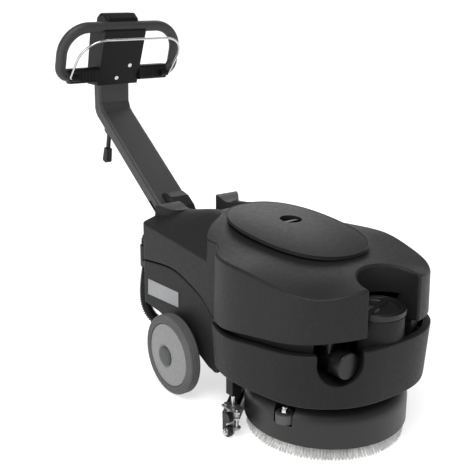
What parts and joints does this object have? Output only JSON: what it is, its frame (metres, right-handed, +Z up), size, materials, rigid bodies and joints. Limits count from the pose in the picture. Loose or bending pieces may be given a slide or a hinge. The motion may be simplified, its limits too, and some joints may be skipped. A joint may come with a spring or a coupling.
{
  "type": "wet dry floor scrubber",
  "caption": "Walk-behind wet and dry floor scrubber: round brush deck, stacked water tanks, arched squeegee, rear wheels and a folding column with a looped handle.",
  "frame": {"origin": "middle of the machine's length and width, on the floor it stands on", "axes": "+Z up; +Y from the brush back to the handle (it drives along -Y); +X to the machine's left-hand side"},
  "size_m": [0.477, 1.2118, 0.897],
  "materials": {
    "body_plastic": "fine grain moulded, near black",
    "tank_plastic": "fine grain moulded, dark grey",
    "deck_plastic": "satin black",
    "head_plastic": "fine grain black",
    "grip_plastic": "soft black",
    "cap_plastic": "semi gloss black",
    "knob_plastic": "gloss black",
    "disc_plastic": "light grey satin",
    "hub_plastic": "dark grey satin",
    "tyre_rubber": "grey solid rubber",
    "roller_rubber": "grey rubber",
    "blade_rubber": "smooth",
    "hose_rubber": "ribbed black",
    "bristle_nylon": "white nylon tufts",
    "brush_block": "moulded",
    "column_paint": "dark grey textured powder coat",
    "black_steel": "black powder coat",
    "grey_cast": "cast",
    "chrome_wire": "bright",
    "zinc_steel": "zinc plated",
    "motor_paint": "black",
    "battery_case": "moulded",
    "plate_film": "plain silver grey plate",
    "switch_red": "gloss",
    "ball_plastic": "smooth",
    "tube_paint": "black rubberised paint"
  },
  "bodies": {
    "chassis": {"lower_body": "body_plastic", "batteries": "battery_case", "bay_cover": "body_plastic", "vacuum_motor": "motor_paint", "brush_motor": "motor_paint", "gearbox": "grey_cast", "deck_cover": "deck_plastic", "roller_bolts": "chrome_wire", "axle_stubs": "zinc_steel", "axle_brackets": "black_steel", "side_plates": "plate_film", "squeegee_hangers": "black_steel", "suction_hose": "hose_rubber", "hose_cuff": "hose_rubber", "filter_body": "knob_plastic", "column_bracket": "black_steel", "pivot_bolt": "zinc_steel"},
    "fan": {"suction_fan": "ball_plastic"},
    "brush": {"drive_hub": "grey_cast", "brush_plate": "brush_block", "bristles": "bristle_nylon"},
    "bumper_left": {"roller_left": "roller_rubber"},
    "bumper_right": {"roller_right": "roller_rubber"},
    "wheel_left": {"tyre_left": "tyre_rubber", "rim_left": "disc_plastic", "hub_cap_left": "hub_plastic"},
    "wheel_right": {"tyre_right": "tyre_rubber", "rim_right": "disc_plastic", "hub_cap_right": "hub_plastic"},
    "squeegee": {"squeegee_body": "deck_plastic", "front_blade": "blade_rubber", "rear_blade": "blade_rubber", "blade_clamps": "zinc_steel", "squeegee_ends": "grey_cast", "guide_rods": "chrome_wire"},
    "squeegee_caster_left": {"squeegee_wheel_left": "roller_rubber"},
    "squeegee_caster_right": {"squeegee_wheel_right": "roller_rubber"},
    "clamp_knob_left": {"squeegee_knob_left": "knob_plastic"},
    "clamp_knob_right": {"squeegee_knob_right": "knob_plastic"},
    "filter": {"filter_bowl": "knob_plastic"},
    "fill_cap": {"filler_cap": "cap_plastic"},
    "tank": {"recovery_tank": "tank_plastic", "float_cage": "cap_plastic", "hose_spigot": "body_plastic"},
    "float": {"float_ball": "ball_plastic"},
    "tank_lid": {"lid": "tank_plastic"},
    "lid_lock": {"lid_knob": "knob_plastic"},
    "column": {"column_tube": "column_paint", "column_foot": "black_steel", "column_collar": "body_plastic", "head_housing": "head_plastic", "head_hood": "head_plastic", "dash_panel": "grip_plastic", "handle_loop": "tube_paint", "head_screws": "chrome_wire"},
    "bail": {"bail_wire": "chrome_wire"},
    "lever": {"lift_lever": "grip_plastic"},
    "brush_switch": {"switch_brush": "switch_red"},
    "vacuum_switch": {"switch_vacuum": "knob_plastic"},
    "water_knob": {"flow_knob": "knob_plastic"}
  },
  "joints": [
    {"name": "wheel_left_spin", "type": "hinge", "parent": "chassis", "child": "wheel_left", "pos_m": [0.203, -0.0614, 0.101], "axis": [1, 0, 0], "continuous": true},
    {"name": "wheel_right_spin", "type": "hinge", "parent": "chassis", "child": "wheel_right", "pos_m": [-0.203, -0.0614, 0.101], "axis": [1, 0, 0], "continuous": true},
    {"name": "brush_spin", "type": "hinge", "parent": "chassis", "child": "brush", "pos_m": [0, -0.3944, 0.05], "axis": [0, 0, 1], "continuous": true},
    {"name": "fan_spin", "type": "hinge", "parent": "chassis", "child": "fan", "pos_m": [0.105, -0.0094, 0.205], "axis": [0, 0, 1], "continuous": true},
    {"name": "bumper_left_spin", "type": "hinge", "parent": "chassis", "child": "bumper_left", "pos_m": [0.169, -0.4494, 0.0865], "axis": [0, 0, 1], "continuous": true},
    {"name": "bumper_right_spin", "type": "hinge", "parent": "chassis", "child": "bumper_right", "pos_m": [-0.169, -0.4494, 0.0865], "axis": [0, 0, 1], "continuous": true},
    {"name": "column_fold", "type": "hinge", "parent": "chassis", "child": "column", "pos_m": [0, 0.1056, 0.277], "axis": [-1, 0, 0], "range_deg": [-88, 0]},
    {"name": "lift_lever_pull", "type": "hinge", "parent": "column", "child": "lever", "pos_m": [-0.02, 0.5536, 0.556], "axis": [1, 0, 0], "range_deg": [0, 60]},
    {"name": "squeegee_lift", "type": "slide", "parent": "chassis", "child": "squeegee", "axis": [0, 0, 1], "range_m": [0, 0.025], "deforming": ["suction_hose"]},
    {"name": "bail_squeeze", "type": "hinge", "parent": "column", "child": "bail", "pos_m": [0, 0.5076, 0.72], "axis": [-1, 0, 0], "range_deg": [0, 16], "stiffness_Nm_per_rad": 0.6, "springref_deg": -20.05},
    {"name": "squeegee_caster_left_spin", "type": "hinge", "parent": "squeegee", "child": "squeegee_caster_left", "pos_m": [0.227, -0.3234, 0.014], "axis": [1, 0, 0], "continuous": true},
    {"name": "squeegee_caster_right_spin", "type": "hinge", "parent": "squeegee", "child": "squeegee_caster_right", "pos_m": [-0.227, -0.3234, 0.014], "axis": [1, 0, 0], "continuous": true},
    {"name": "clamp_knob_left_turn", "type": "hinge", "parent": "squeegee", "child": "clamp_knob_left", "pos_m": [0.227, -0.3234, 0.048], "axis": [1, 0, 0], "continuous": true},
    {"name": "clamp_knob_right_turn", "type": "hinge", "parent": "squeegee", "child": "clamp_knob_right", "pos_m": [-0.227, -0.3234, 0.048], "axis": [1, 0, 0], "continuous": true},
    {"name": "filter_turn", "type": "hinge", "parent": "chassis", "child": "filter", "pos_m": [-0.112, -0.5624, 0.237], "axis": [0, -1, 0], "range_deg": [0, 90]},
    {"name": "fill_cap_turn", "type": "hinge", "parent": "chassis", "child": "fill_cap", "pos_m": [0, -0.5389, 0.32], "axis": [0, 0, 1], "range_deg": [0, 90]},
    {"name": "tank_lift", "type": "slide", "parent": "chassis", "child": "tank", "axis": [0, 0, 1], "range_m": [0, 0.16]},
    {"name": "float_rise", "type": "slide", "parent": "tank", "child": "float", "axis": [0, 0, 1], "range_m": [0, 0.008]},
    {"name": "lid_lift", "type": "slide", "parent": "tank", "child": "tank_lid", "axis": [0, 0, 1], "range_m": [0, 0.12]},
    {"name": "lid_knob_turn", "type": "hinge", "parent": "tank_lid", "child": "lid_lock", "pos_m": [0, -0.2594, 0.45], "axis": [0, 0, 1], "range_deg": [0, 90]},
    {"name": "brush_switch_rock", "type": "hinge", "parent": "column", "child": "brush_switch", "pos_m": [-0.03, 0.5693, 0.80245], "axis": [1, 0, 0], "range_deg": [-6, 6]},
    {"name": "vacuum_switch_rock", "type": "hinge", "parent": "column", "child": "vacuum_switch", "pos_m": [0.03, 0.5693, 0.80245], "axis": [1, 0, 0], "range_deg": [-6, 6]},
    {"name": "water_knob_turn", "type": "hinge", "parent": "column", "child": "water_knob", "pos_m": [0, 0.58972, 0.75289], "axis": [0, 0.9711, 0.2386], "range_deg": [0, 270]}
  ],
  "couplings": [
    {"joint": "squeegee_lift", "follows": "lift_lever_pull", "m_per_rad": 0.023863}
  ]
}
